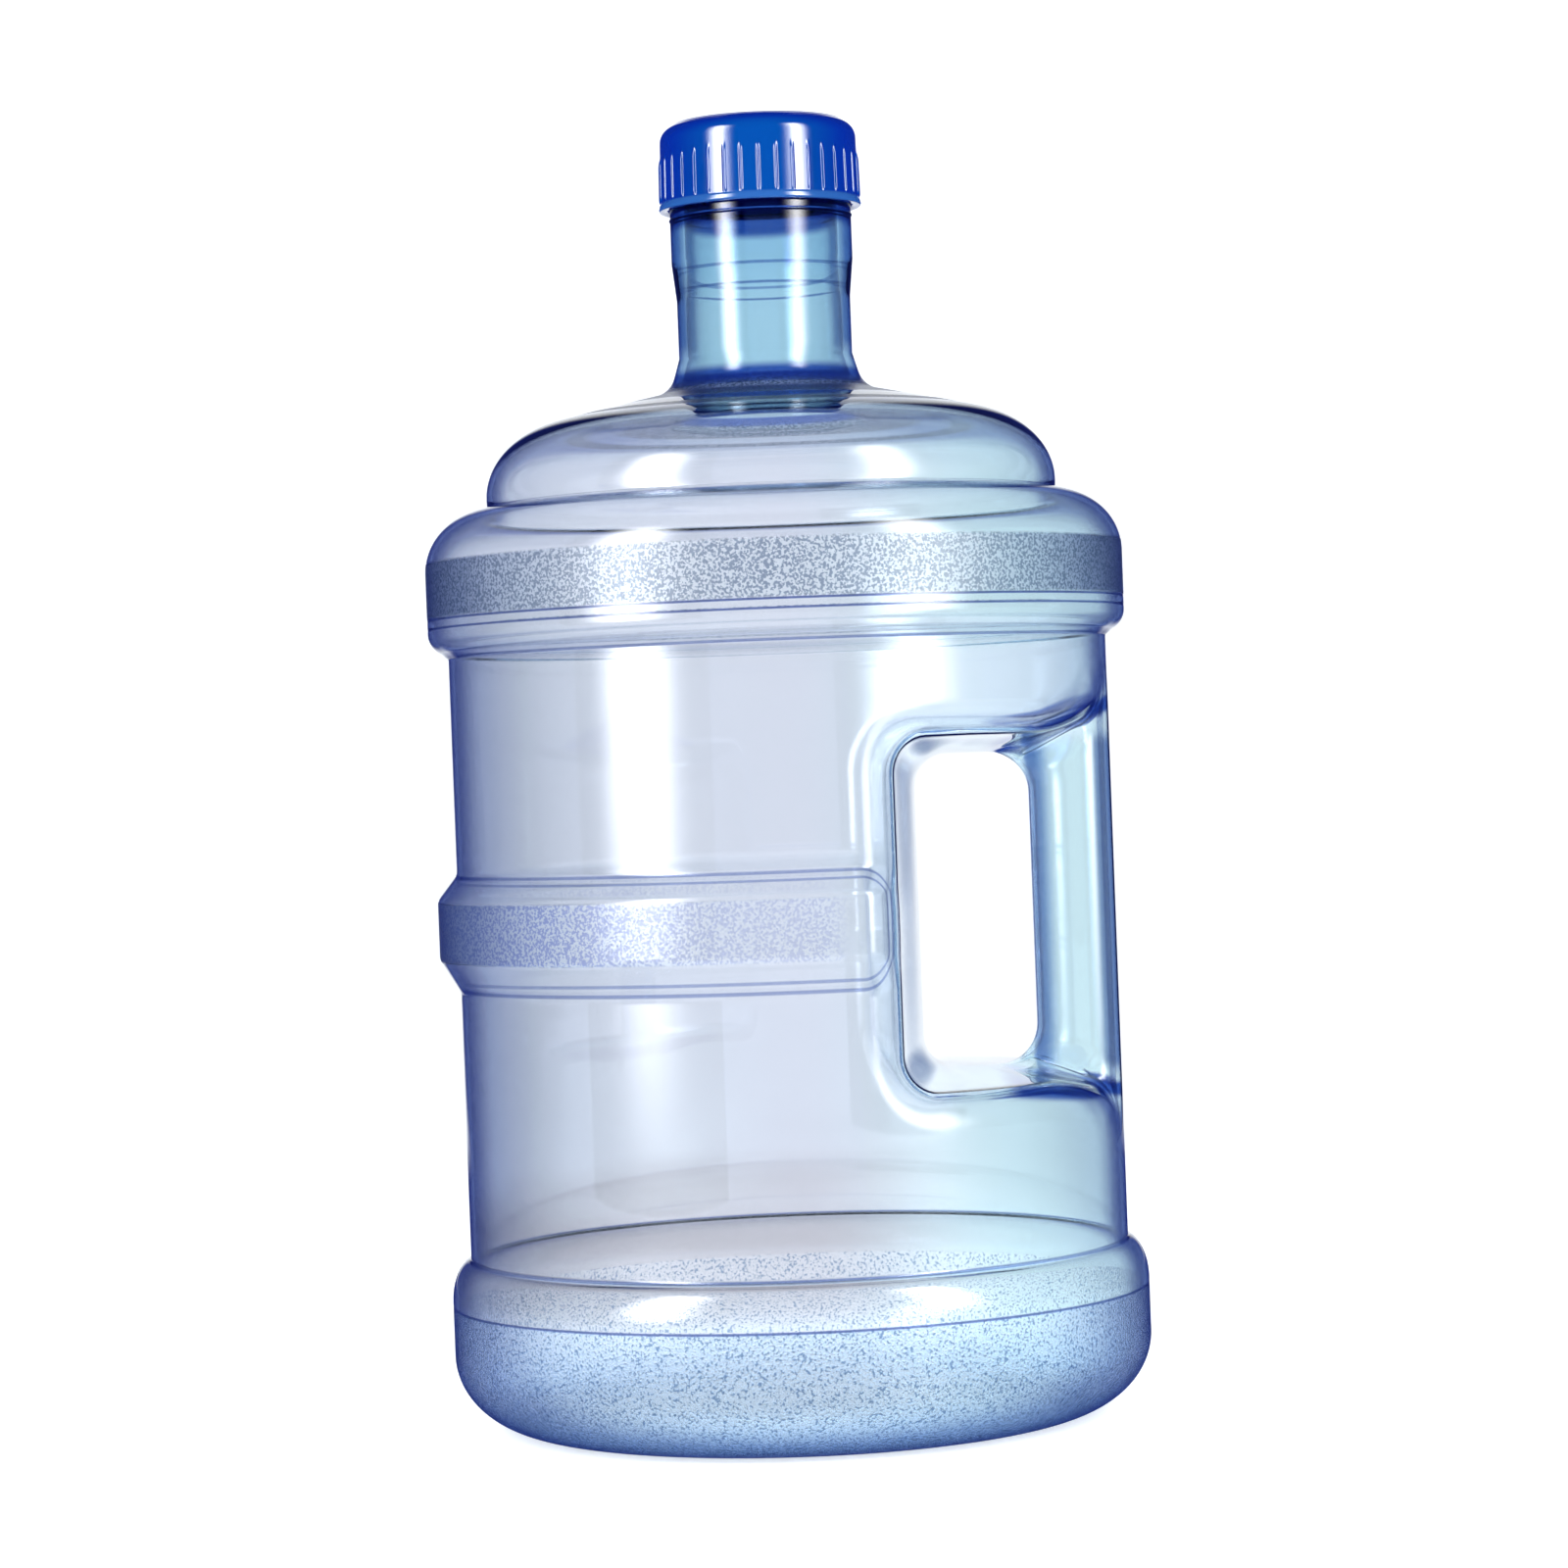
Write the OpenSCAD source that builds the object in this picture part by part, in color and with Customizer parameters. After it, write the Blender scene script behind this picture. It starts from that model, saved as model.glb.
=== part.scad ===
// Clear handled water jug with a blue screw cap, standing on its base.
// Millimetres, +Z up, origin at the middle of the base on the neck's axis. The handle is at +X.

/* [Body] */
// Radius of the plain body wall
body_r = 100.4; // [99:0.1:101.5]
// Radius of the base ring and of the shoulder ring
ring_r = 106.4; // [105.5:0.1:108]
// Height of the top of the shoulder ring
ring_top = 262; // [260:1:264]
// Height of the crease between shoulder and dome
crease_z = 281.5; // [280:0.5:283]
// Wall thickness of the moulding
wall = 1.6; // [1.2:0.1:2]

/* [Base] */
// Radial size of the rounded bottom corner
corner_w = 28.5; // [26:0.5:32]
// Height of the rounded bottom corner
corner_h = 24; // [22:0.5:27]
// Depth of the push-up in the middle of the base
push_up = 7; // [5:0.5:9]

/* [Mid band] */
// Radius of the raised band
band_r = 106.4; // [104:0.1:107]
// Bottom of the band's lower slope
band_z0 = 134.4; // [132:0.2:136]
// Top of the band's upper slope
band_z1 = 170.3; // [169:0.1:173]

/* [Neck] */
// Outer radius of the lower neck
neck_r = 26.55; // [26:0.05:27]
// Outer radius of the collar above the step
collar_r = 27.75; // [27.4:0.05:27.8]
// Height of the step between neck and collar
step_z = 346.5; // [344:0.5:350]
// Height of the lip of the neck
lip_z = 393; // [392.6:0.1:393]
// Inner radius of the mouth
bore_r = 23.4; // [22.8:0.1:23.8]

/* [Handle] */
// Left edge of the hand hole
hole_x0 = 40.5; // [38:0.5:43]
// Right edge of the hand hole, where the grip starts
hole_x1 = 75.2; // [74:0.2:77]
// Bottom of the hand hole
hole_z0 = 106; // [104:0.5:108]
// Top of the hand hole
hole_z1 = 201.5; // [199:0.5:203]
// Depth of the grip from front to back
grip_depth = 30; // [28:0.5:34]
// Radius of the rounded edge round the recess
edge_r = 10; // [8:0.5:10]

/* [Cap] */
// Outer radius of the cap's skirt
cap_r = 30.05; // [29.9:0.05:30.4]
// Height of the cap's rim
cap_rim = 370; // [369.5:0.1:370.5]
// Height of the cap from rim to crown
cap_height = 27.2; // [27:0.1:28]
// Number of grip ribs round the skirt
rib_count = 36; // [24:2:44]

/* [Hidden] */
$fn = 96;
eps = 0.01;

// Sampled corner: an elliptic arc from angle a0 to a1 about (cx, cz)
function arc(cx, cz, rx, rz, a0, a1, n) =
    [for (i = [0:n]) let (a = a0 + (a1 - a0) * i / n) [cx + rx * cos(a), cz + rz * sin(a)]];

// Smooth step in radius between two heights
function blend(r0, z0, r1, z1, n) =
    [for (i = [0:n]) let (t = i / n) [r0 + (r1 - r0) * (1 - cos(180 * t)) / 2, z0 + (z1 - z0) * t]];

// Outer line of the moulding, from the base's middle to the underside of the collar
foot_r = ring_r - corner_w;
under_line = [[0, push_up], [46, push_up], [58, push_up - 2.5], [foot_r - 8, 0.8], [foot_r - 3, 0]];
corner_line = arc(foot_r, corner_h, corner_w, corner_h, -90, 0, 12);
waist_line = blend(ring_r, 39, body_r, 53, 8);
band_line = [[body_r, band_z0], [band_r, band_z0 + 10.2], [band_r, band_z1 - 7.5], [body_r, band_z1]];
under_ring_line = blend(body_r, 235.5, ring_r, 247.8, 8);
over_ring_line = arc(ring_r - 19.6, ring_top, 19.6, crease_z - ring_top, 0, 84, 12);
crease_r = ring_r - 19.4;
dome_line = concat(
    [[crease_r - 0.2, crease_z + 1.2]],
    arc(crease_r - 24.5, 286, 24.2, 20.2, 0, 72, 9),
    [[45, 309.6], [37, 312.6]]);
neck_foot_line = arc(37.5, 325, 37.5 - neck_r, 12.2, 270, 180, 8);
neck_line = [[neck_r, step_z], [collar_r, step_z + 4.8], [collar_r, cap_rim + 1]];
thread_root_r = 26;
finish_line = [[thread_root_r, cap_rim + 1.8], [thread_root_r, lip_z - 0.6], [thread_root_r - 0.6, lip_z]];
skin_line = concat(under_line, corner_line, waist_line, band_line, under_ring_line, over_ring_line,
    dome_line);
outer_line = concat(skin_line, neck_foot_line, neck_line, finish_line);

// The same line moved into the wall by g along its normal
function normal_at(p, i) =
    let (a = p[max(i - 1, 0)], b = p[min(i + 1, len(p) - 1)], d = b - a) [-d[1], d[0]] / norm(d);
function inward(p, g) = [for (i = [0:len(p) - 1]) i == 0 ? p[0] + [0, g] : p[i] + normal_at(p, i) * g];
throat_r = 23.8;
ledge_r = 22.6;
throat_line = concat(
    arc(37.5, 325, 37.5 - throat_r, 12.2 + wall, 262, 180, 8),
    [[throat_r, step_z], [ledge_r, step_z + 1.2], [ledge_r, step_z + 3.2], [bore_r, step_z + 4.6]],
    [[bore_r, lip_z + 1]]);
inner_line = concat(inward(skin_line, wall), throat_line);

// Recess: its floor and ceiling meet the body wall lower and higher than they meet the hole
mouth_y = 101;
mouth_x0 = hole_x0 - 9.8;
mouth_z0 = hole_z0 - 2.4;
mouth_z1 = hole_z1 + 6.4;
hole_corner = 9;
mouth_corner = 10;

// Rounded vertical edge of the recess, on a circle that touches the body and the recess's side
side_x = mouth_x0 + 1.4;
edge_cx = side_x - edge_r;
edge_cy = sqrt(pow(body_r - edge_r, 2) - pow(edge_cx, 2));

// Grip: flush with the body wall
grip_r = (body_r - hole_x1) / 2;
grip_x = hole_x1 + grip_r;

// Screw thread: three starts
starts = 3;
start_gap = 4;
lead = starts * start_gap;
seg = 10;
neck_thread_z = cap_rim + 4.2;
neck_thread_turn = 380;
cap_thread_turn = 260;
cap_bore_r = 28.2;

// Cap
crown_z = cap_rim + cap_height;
seat_z = lip_z + 1.6;
washer_r = 27.6;
rib_r = 0.55;

// Raised helical ridge from base radius r0 to crest radius r1, fading out at both ends
module ridge(r0, r1, w0, w1, z0, turn) {
    n = floor(turn / seg);
    function fade(i) = min(1, min(i, n - i) / 3 + 0.12);
    function crest(i) = r0 + (r1 - r0) * fade(i);
    function spot(r, a, z) = [r * cos(a), r * sin(a), z];
    pts = [for (i = [0:n]) let (a = i * seg, z = z0 + lead * a / 360)
        each [spot(r0, a, z - w0 / 2), spot(crest(i), a, z - w1 / 2), spot(crest(i), a, z + w1 / 2),
            spot(r0, a, z + w0 / 2)]];
    sides = [for (i = [0:n - 1], k = [0:3]) let (a = 4 * i + k, b = 4 * i + (k + 1) % 4)
        each [[a, a + 4, b], [b, a + 4, b + 4]]];
    ends = [[0, 1, 2], [0, 2, 3], [4 * n + 2, 4 * n + 1, 4 * n], [4 * n + 3, 4 * n + 2, 4 * n]];
    flip = r1 > r0;
    faces = concat(sides, ends);
    polyhedron(pts, flip ? [for (f = faces) [f[2], f[1], f[0]]] : faces);
}

module thread(r0, r1, w0, w1, z0, turn) {
    for (k = [0:starts - 1])
        rotate([0, 0, 360 * k / starts + seg / 2 - 1]) ridge(r0, r1, w0, w1, z0, turn);
}

// One side of the recess, grown by g into the chamber
module half_recess(g) {
    hull() {
        for (z = [hole_z0 - g + hole_corner, hole_z1 + g - hole_corner])
            translate([hole_x0 - g + hole_corner, -eps, z])
                rotate([-90, 0, 0]) cylinder(r = hole_corner, h = 0.2, $fn = 48);
        for (z = [mouth_z0 - g + mouth_corner, mouth_z1 + g - mouth_corner])
            translate([mouth_x0 - g + mouth_corner, mouth_y, z])
                rotate([-90, 0, 0]) cylinder(r = mouth_corner, h = 12, $fn = 48);
        translate([120, -eps, hole_z0 - g]) cube([4, 0.2, hole_z1 - hole_z0 + 2 * g]);
        translate([120, mouth_y, mouth_z0 - g]) cube([4, 12, mouth_z1 - mouth_z0 + 2 * g]);
    }
}

module recess(g) {
    half_recess(g);
    mirror([0, 1, 0]) half_recess(g);
}

// Cutters that round the recess's floor, ceiling and side edges where they meet the body wall
module edge_cut(z, dir, g) {
    r = edge_r - g;
    rotate([0, 0, -68]) rotate_extrude(angle = 136) difference() {
        translate([body_r - edge_r, dir > 0 ? z : z - edge_r]) square([edge_r + 9, edge_r]);
        translate([body_r - edge_r, z]) circle(r = r);
    }
}

module side_cut(g) {
    reach = edge_r + 13;
    translate([0, 0, mouth_z0 - 1]) linear_extrude(mouth_z1 - mouth_z0 + 2) difference() {
        polygon([[edge_cx, edge_cy], [edge_cx, edge_cy] * (band_r + 5) / (body_r - edge_r),
            [side_x + 6, edge_cy + reach], [side_x + 6, edge_cy]]);
        translate([edge_cx, edge_cy]) circle(r = edge_r - g);
    }
}

// Plastic left where the cutters end, so that the wall is as thick there as elsewhere
module cutter_ends() {
    rotate([0, 0, 68]) for (z = [mouth_z0 - 10.2, mouth_z1 - 4.9]) translate([83.7, -0.3, z])
        cube([band_r - 82, wall + 0.4, 15.1]);
    for (z = [mouth_z0 - 2.7, mouth_z1 - 3.9]) translate([side_x - 2.6, edge_cy - wall - 0.2, z])
        cube([8.2, wall + 0.5, 6.6]);
    rotate([0, 0, atan2(edge_cy, edge_cx)]) translate([body_r - wall - 2.3, -0.3, band_z0 - 3.3])
        cube([band_r - body_r + 6, wall + 0.4, band_z1 - band_z0 + 6.6]);
}

module edge_cuts(g) {
    edge_cut(mouth_z0 + 0.3 - edge_r, 1, g);
    edge_cut(mouth_z1 - 0.4 + edge_r, -1, g);
    side_cut(g);
    mirror([0, 1, 0]) side_cut(g);
}

module grip(g) {
    r = grip_r - g;
    side = grip_depth / 2 - grip_r;
    inset = 0.1 + g * 0.1;
    translate([0, 0, hole_z0 - 18 + g]) linear_extrude(hole_z1 - hole_z0 + 36 - 2 * g) {
        for (y = [-side, side]) translate([grip_x - inset, y]) circle(r = r);
        translate([grip_x - inset - r, -side]) square([2 * r, 2 * side]);
    }
}

module outer_form() {
    difference() {
        rotate_extrude() polygon(concat(outer_line, [[0, lip_z]]));
        recess(0);
        edge_cuts(0);
    }
    grip(0);
}

module inner_form() {
    difference() {
        rotate_extrude() polygon(concat(inner_line, [[0, lip_z + 1]]));
        recess(wall);
        edge_cuts(wall);
        cutter_ends();
        mirror([0, 1, 0]) cutter_ends();
    }
    grip(wall);
}

module bottle() {
    color([0.62, 0.78, 0.92, 0.45]) {
        difference() {
            outer_form();
            inner_form();
        }
        thread(thread_root_r - 0.5, 27.4, 2.2, 1, neck_thread_z, neck_thread_turn);
    }
}

module rib() {
    translate([cap_r + 0.1, 0, cap_rim + 3]) cylinder(r = rib_r, h = 11.6, $fn = 24);
    translate([cap_r + 0.1, 0, cap_rim + 14.6]) cylinder(r1 = rib_r, r2 = 0.1, h = 3, $fn = 24);
}

module cap() {
    color([0.02, 0.27, 0.76]) {
        difference() {
            union() {
                rotate_extrude() polygon(concat(
                    [[0, cap_rim], [cap_r + 0.75, cap_rim], [cap_r + 0.95, cap_rim + 0.5],
                        [cap_r + 0.75, cap_rim + 1.8], [cap_r + 0.3, cap_rim + 2.4]],
                    arc(cap_r - 5, crown_z - 6.4, 5, 5.2, 0, 78, 7),
                    [[14, crown_z - 0.4], [0, crown_z]]));
                for (k = [0:rib_count - 1]) rotate([0, 0, 360 * k / rib_count]) rib();
            }
            translate([0, 0, cap_rim - 1]) cylinder(r = cap_bore_r, h = seat_z - cap_rim + 1);
        }
        translate([0, 0, 2]) thread(cap_bore_r + 0.4, 26.5, 1.8, 0.9, neck_thread_z, cap_thread_turn);
    }
}

module cap_washer() {
    color([0.93, 0.94, 0.95])
        translate([0, 0, lip_z + 0.1]) cylinder(r = washer_r, h = seat_z - lip_z - 0.1);
}

bottle();
cap();
cap_washer();
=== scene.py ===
import math

import bpy
import numpy as np
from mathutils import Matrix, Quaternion, Vector

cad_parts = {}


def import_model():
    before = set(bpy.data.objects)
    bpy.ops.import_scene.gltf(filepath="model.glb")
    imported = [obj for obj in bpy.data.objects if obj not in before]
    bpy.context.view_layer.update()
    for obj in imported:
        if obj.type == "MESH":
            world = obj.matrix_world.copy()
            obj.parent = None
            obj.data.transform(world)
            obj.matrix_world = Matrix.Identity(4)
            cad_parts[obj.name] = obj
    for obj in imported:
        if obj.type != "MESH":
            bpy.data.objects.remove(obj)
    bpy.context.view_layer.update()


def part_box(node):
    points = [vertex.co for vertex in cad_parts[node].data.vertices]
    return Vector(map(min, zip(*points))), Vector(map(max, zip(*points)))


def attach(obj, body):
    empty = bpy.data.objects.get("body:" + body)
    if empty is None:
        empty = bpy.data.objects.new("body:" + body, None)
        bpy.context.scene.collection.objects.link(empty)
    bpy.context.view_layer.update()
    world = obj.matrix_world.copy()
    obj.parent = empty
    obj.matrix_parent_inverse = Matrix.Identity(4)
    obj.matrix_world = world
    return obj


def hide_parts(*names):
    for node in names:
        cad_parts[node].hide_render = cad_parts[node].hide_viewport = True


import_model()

MM = 0.001

# ---------------------------------------------------------------- sizes, in millimetres
INSET = 0.02  # the smooth meshes stay this far inside the CAD box
WALL = 1.6


def widest(lo, hi):
    """The radius that stays inside a box on every side."""
    return min(-lo.x, -lo.y, hi.x, hi.y) / MM - INSET


_lo, _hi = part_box("bottle")
RING_R = widest(_lo, _hi)
LIP_Z = _hi.z / MM
RING_STEP = 5.98
BODY_R = RING_R - RING_STEP
BAND_R = RING_R
TUCK = 1.5
BULGE_W = RING_STEP + TUCK

CORNER_W, CORNER_H = 28.5, 24.0
FOOT_R = RING_R - CORNER_W
PUSH_UP = 7.0
BASE_LINE_Z = 39.0
WAIST_Z = 53.0
BAND_Z0, BAND_Z1 = 134.4, 170.3
UNDER_RING_Z = 236.0
RING_Z0, RING_Z1 = 247.8, 262.0
CREASE_R, CREASE_Z = 87.0, 281.2
NECK_R, COLLAR_R, THREAD_ROOT_R = 26.55, 27.75, 26.0
NECK_FOOT_Z, STEP_Z, COLLAR_TOP_Z = 325.0, 346.5, 371.0
THROAT_R, BORE_R = 23.8, 23.4

HOLE_X0, HOLE_X1 = 40.5, 75.2
HOLE_Z0, HOLE_Z1 = 106.0, 201.5
MOUTH_X0 = 31.3
MOUTH_Z0, MOUTH_Z1 = 103.7, 207.5
STRAIGHT_Z0, STRAIGHT_Z1 = 126, 180
GRIP_ANGLE = 9.0
GRIP_DEPTH, GRIP_REACH = 18.0, 15.3
EDGE = 10.5
FLARE = 6.0
BAND_END_R = 5.0

PATCH_Z0, PATCH_Z1 = 76.0, 230.0
COLUMNS = 240

_lo, _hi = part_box("cap")
CAP_Z0, CAP_Z1 = _lo.z / MM, _hi.z / MM
LIP_R = widest(_lo, _hi)
CAP_R = LIP_R - 0.95
CAP_BORE = 28.2
WASHER_H = 1.6
SEAT_Z = LIP_Z + WASHER_H
RIBS, RIB_HALF, RIB_HEIGHT = 36, 0.46, 0.5

THREAD_Z0 = 374.2
STARTS, GAP = 3, 4.0
LEAD = STARTS * GAP
GROOVES, GROOVE_DEPTH = (BASE_LINE_Z, RING_Z0 - 3.0, RING_Z0 - 0.3), 0.05


# ---------------------------------------------------------------- small tools
def smooth(x, a, b):
    t = np.clip((np.asarray(x, float) - a) / (b - a), 0, 1)
    return t * t * (3 - 2 * t)


def arc(cx, cz, rx, rz, a0, a1, n):
    a = np.radians(np.linspace(a0, a1, n + 1))
    return np.column_stack([cx + rx * np.cos(a), cz + rz * np.sin(a)])


def rounded(corners, steps=6):
    """A polyline through (r, z, fillet radius) corners, with each corner rounded."""
    pts = [np.array(corners[0][:2], float)]
    for i in range(1, len(corners) - 1):
        a, b, c = (np.array(corners[k][:2], float) for k in (i - 1, i, i + 1))
        rad = corners[i][2]
        u, v = (a - b) / np.linalg.norm(a - b), (c - b) / np.linalg.norm(c - b)
        half = math.acos(np.clip(u @ v, -1, 1)) / 2
        if rad <= 0 or half > 1.55:
            pts.append(b)
            continue
        room = 0.48 * min(np.linalg.norm(a - b), np.linalg.norm(c - b))
        cut = min(rad / math.tan(half), room)
        for t in np.linspace(0, 1, steps + 1):
            p, q = b + u * cut * (1 - t), b + v * cut * t
            pts.append(p + (q - p) * t)
    pts.append(np.array(corners[-1][:2], float))
    return np.array(pts)


def spread(pts, step):
    """The same polyline with no gap longer than step."""
    out = [pts[0]]
    for a, b in zip(pts[:-1], pts[1:]):
        n = max(1, int(math.ceil(np.linalg.norm(b - a) / step)))
        out += [a + (b - a) * k / n for k in range(1, n + 1)]
    return np.array(out)


def join(*parts):
    return np.vstack([p if i == 0 else p[1:] for i, p in enumerate(parts)])


class Sheet:
    """Collects points and faces, then welds points that coincide."""

    def __init__(self):
        self.points, self.faces, self.count = [], [], 0

    def grid(self, pts, wrap=False, flip=False, mask=None):
        rows, cols = pts.shape[:2]
        base = self.count
        self.points.append(pts.reshape(-1, 3))
        self.count += rows * cols
        i, j = np.meshgrid(np.arange(rows - 1), np.arange(cols if wrap else cols - 1), indexing="ij")
        if mask is not None:
            keep = mask[i, j]
            i, j = i[keep], j[keep]
        k = (j + 1) % cols
        quad = np.stack([i * cols + j, i * cols + k, (i + 1) * cols + k, (i + 1) * cols + j], -1)
        quad = quad.reshape(-1, 4) + base
        self.faces.append(quad[:, ::-1] if flip else quad)
        return base + np.arange(rows * cols).reshape(rows, cols)

    def welded(self, tol=1e-3):
        pts, faces = np.vstack(self.points), np.vstack(self.faces)
        cells = np.round(pts / tol).astype(np.int64)
        _, first, back = np.unique(cells, axis=0, return_index=True, return_inverse=True)
        return pts[first], back.ravel()[faces], back.ravel()


def corner_normals(pts, faces):
    """A unit normal at each point, from the faces round it."""
    a, b = pts[faces[:, 2]] - pts[faces[:, 0]], pts[faces[:, 3]] - pts[faces[:, 1]]
    n = np.cross(a, b)
    out = np.zeros_like(pts)
    for k in range(4):
        np.add.at(out, faces[:, k], n)
    return out / np.maximum(np.linalg.norm(out, axis=1, keepdims=True), 1e-12)


def make_object(name, pts, faces, material):
    """A smooth mesh object, in metres, from points in millimetres."""
    mesh = bpy.data.meshes.new(name)
    clean = []
    for f in faces.tolist():
        loop = [v for i, v in enumerate(f) if v != f[i - 1]]
        if len(set(loop)) == len(loop) and len(loop) > 2:
            clean.append(loop)
    mesh.from_pydata((pts * MM).tolist(), [], clean)
    mesh.materials.append(material)
    mesh.polygons.foreach_set("use_smooth", [True] * len(mesh.polygons))
    mesh.update()
    obj = bpy.data.objects.new(name, mesh)
    bpy.context.scene.collection.objects.link(obj)
    return obj


def revolve(line, angles, radial=None):
    """Rows of points: line's (r, z) turned to each angle, with an optional change of radius."""
    r = np.repeat(line[:, :1], len(angles), 1)
    z = np.repeat(line[:, 1:], len(angles), 1)
    if radial is not None:
        r = r + radial(np.repeat(angles[None], len(line), 0), z)
    return np.stack([r * np.cos(angles), r * np.sin(angles), z], -1)


# ---------------------------------------------------------------- jug: outlines
def base_line():
    """The underside, pushed up in the middle."""
    r = np.concatenate([[0], np.linspace(6, 48, 8), np.linspace(50, 76, 20)])
    return np.column_stack([r, PUSH_UP * (1 - smooth(r, 50, 74))])


def groove_at(z, half):
    """Corners of a fine parting groove round the jug's widest part."""
    return [(RING_R, z - half, 0.5), (RING_R - GROOVE_DEPTH, z, 0.4), (RING_R, z + half, 0.5)]


def lower_line():
    """From the base's middle up to where the handle's patch begins."""
    corner = arc(FOOT_R, CORNER_H, CORNER_W, CORNER_H, -90, 0, 26)
    bulge_z = BASE_LINE_Z + 1.4
    groove = rounded([(RING_R, CORNER_H + 8, 0)] + groove_at(GROOVES[0], 0.8) + [(RING_R, bulge_z, 0)], 3)
    bulge = arc(BODY_R - TUCK, bulge_z, BULGE_W, WAIST_Z - BASE_LINE_Z - 1.1, 0, 78, 14)
    top = bulge[-1]
    crease = rounded([(top[0], top[1], 0), (BODY_R, top[1] + 0.7, 0.6), (BODY_R, WAIST_Z + 6, 0)], 4)
    side = spread(np.array([[BODY_R, WAIST_Z + 6], [BODY_R, PATCH_Z0]]), 4)
    return join(base_line(), corner, spread(groove, 4), bulge, crease, side)


def ring_line():
    """From the top of the handle's patch over the shoulder ring to the dome's crease."""
    foot = rounded([(BODY_R, PATCH_Z1, 0), (BODY_R, UNDER_RING_Z - 0.3, 0.6),
                    (BODY_R + 0.9, UNDER_RING_Z + 0.5, 0)], 4)
    low = RING_Z0 - 4.2
    under = arc(BODY_R - TUCK, low, BULGE_W, RING_Z0 - UNDER_RING_Z - 4.9, -70, 0, 12)
    two = groove_at(GROOVES[1], 0.6) + groove_at(GROOVES[2], 0.6)
    grooves = rounded([(RING_R, low, 0)] + two + [(RING_R, RING_Z1, 0)], 3)
    over = arc(RING_R - 20.4, RING_Z1, 20.4, CREASE_Z - 0.2 - RING_Z1, 0, 86, 24)
    return join(foot, under, spread(grooves, 2.5), over)


def dome_line():
    """From the crease over the dome to the neck's foot."""
    start = np.array([[CREASE_R + 0.35, CREASE_Z + 0.15], [CREASE_R, CREASE_Z + 0.7],
                      [CREASE_R, CREASE_Z + 2.2]])
    shoulder = arc(58, CREASE_Z + 2.8, CREASE_R - 58, 23.5, 0, 75, 22)
    saddle = rounded([tuple(shoulder[-1]) + (0,), (49, 310.4, 30), (NECK_R + 3.2, 314.6, 11),
                      (NECK_R, NECK_FOOT_Z, 0)], 12)
    return join(start, shoulder, spread(saddle, 3))


def neck_line():
    """Up the neck and over the collar to the thread's root."""
    return spread(rounded([
        (NECK_R, NECK_FOOT_Z, 0), (NECK_R, STEP_Z - 4.0, 12),
        (COLLAR_R, STEP_Z + 7.5, 12), (COLLAR_R, 366.6, 0.3),
        (COLLAR_R + 0.35, 367.2, 0.3), (COLLAR_R, 367.8, 0.3), (COLLAR_R, COLLAR_TOP_Z, 0.3),
        (THREAD_ROOT_R, COLLAR_TOP_Z + 0.8, 0.3), (THREAD_ROOT_R, COLLAR_TOP_Z + 1.6, 0)], 4), 2.5)


def finish_line():
    """Up the threaded part and over the lip."""
    low = LIP_Z - 1.6
    threaded = spread(np.array([[THREAD_ROOT_R, COLLAR_TOP_Z + 1.6], [THREAD_ROOT_R, low]]), 0.4)
    lip = rounded([(THREAD_ROOT_R, low, 0), (THREAD_ROOT_R, LIP_Z, 0.8), (BORE_R, LIP_Z, 0.8),
                   (BORE_R, low, 0)], 5)
    return join(threaded, lip)


def throat_line(top):
    """Down the inside of the neck, ending at the inner skin's top ring."""
    return spread(rounded([
        (BORE_R, LIP_Z - 1.6, 0), (BORE_R, STEP_Z + 12, 20), (THROAT_R, STEP_Z - 10, 20),
        (THROAT_R, NECK_FOOT_Z, 0), (top[0], top[1], 0)], 7), 3)


BAND_LINE = rounded([(BODY_R, PATCH_Z0, 0), (BODY_R, BAND_Z0, 3), (BAND_R, BAND_Z0 + 10.2, 4),
                     (BAND_R, BAND_Z1 - 7.5, 4), (BODY_R, BAND_Z1, 3), (BODY_R, PATCH_Z1, 0)], 8)


def side_rows():
    """Heights of the rows across the handle's patch, closer together on the band's slopes."""
    return np.concatenate([np.arange(PATCH_Z0, 132, 2.8), np.arange(132, 147, 0.75), np.arange(147, 161, 2.0),
                           np.arange(161, 172.5, 0.75), np.arange(172.5, PATCH_Z1 - 1, 2.8), [PATCH_Z1]])


def side_radius(angle, z):
    """Radius of the side wall, with the raised band, whose ends are rounded beside the recess."""
    x = BODY_R * np.cos(angle)
    d = np.clip((x - (MOUTH_X0 - 6.5)) / BAND_END_R, 0, 1)
    shift = BAND_END_R * (1 - np.sqrt(1 - d * d))
    middle = (BAND_Z0 + BAND_Z1) / 2
    at = np.where(z < middle, np.minimum(z - shift, middle), np.maximum(z + shift, middle))
    rise = np.interp(at, BAND_LINE[:, 1], BAND_LINE[:, 0]) - BODY_R
    return BODY_R + rise * (1 - smooth(x, MOUTH_X0 - 7, MOUTH_X0 + 2))


def side_point(angle, z):
    r = side_radius(angle, z)
    return np.stack([r * np.cos(angle), r * np.sin(angle), z], -1)


# ---------------------------------------------------------------- jug: recess and grip
def round_off(p, lo, hi, radius):
    """Moves points on a rectangle's outline onto its rounded outline, and gives the outward normals."""
    core = np.clip(p, lo + radius[:, None], hi - radius[:, None])
    away = p - core
    n = away / np.linalg.norm(away, axis=1, keepdims=True)
    return core + n * radius[:, None], n


def patch_border(rows, half):
    """The outline of the patch in (angle, height), going round from the lower left corner."""
    a = np.radians(np.linspace(-90, 0, half + 1))
    left = np.column_stack([np.full(len(rows), a[0]), rows])
    top = np.column_stack([a, np.full(len(a), rows[-1])])
    right = np.column_stack([np.full(len(rows), a[-1]), rows[::-1]])
    bottom = np.column_stack([a[::-1], np.full(len(a), rows[0])])
    return np.vstack([left[:-1], top[:-1], right[:-1], bottom[:-1]])


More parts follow.
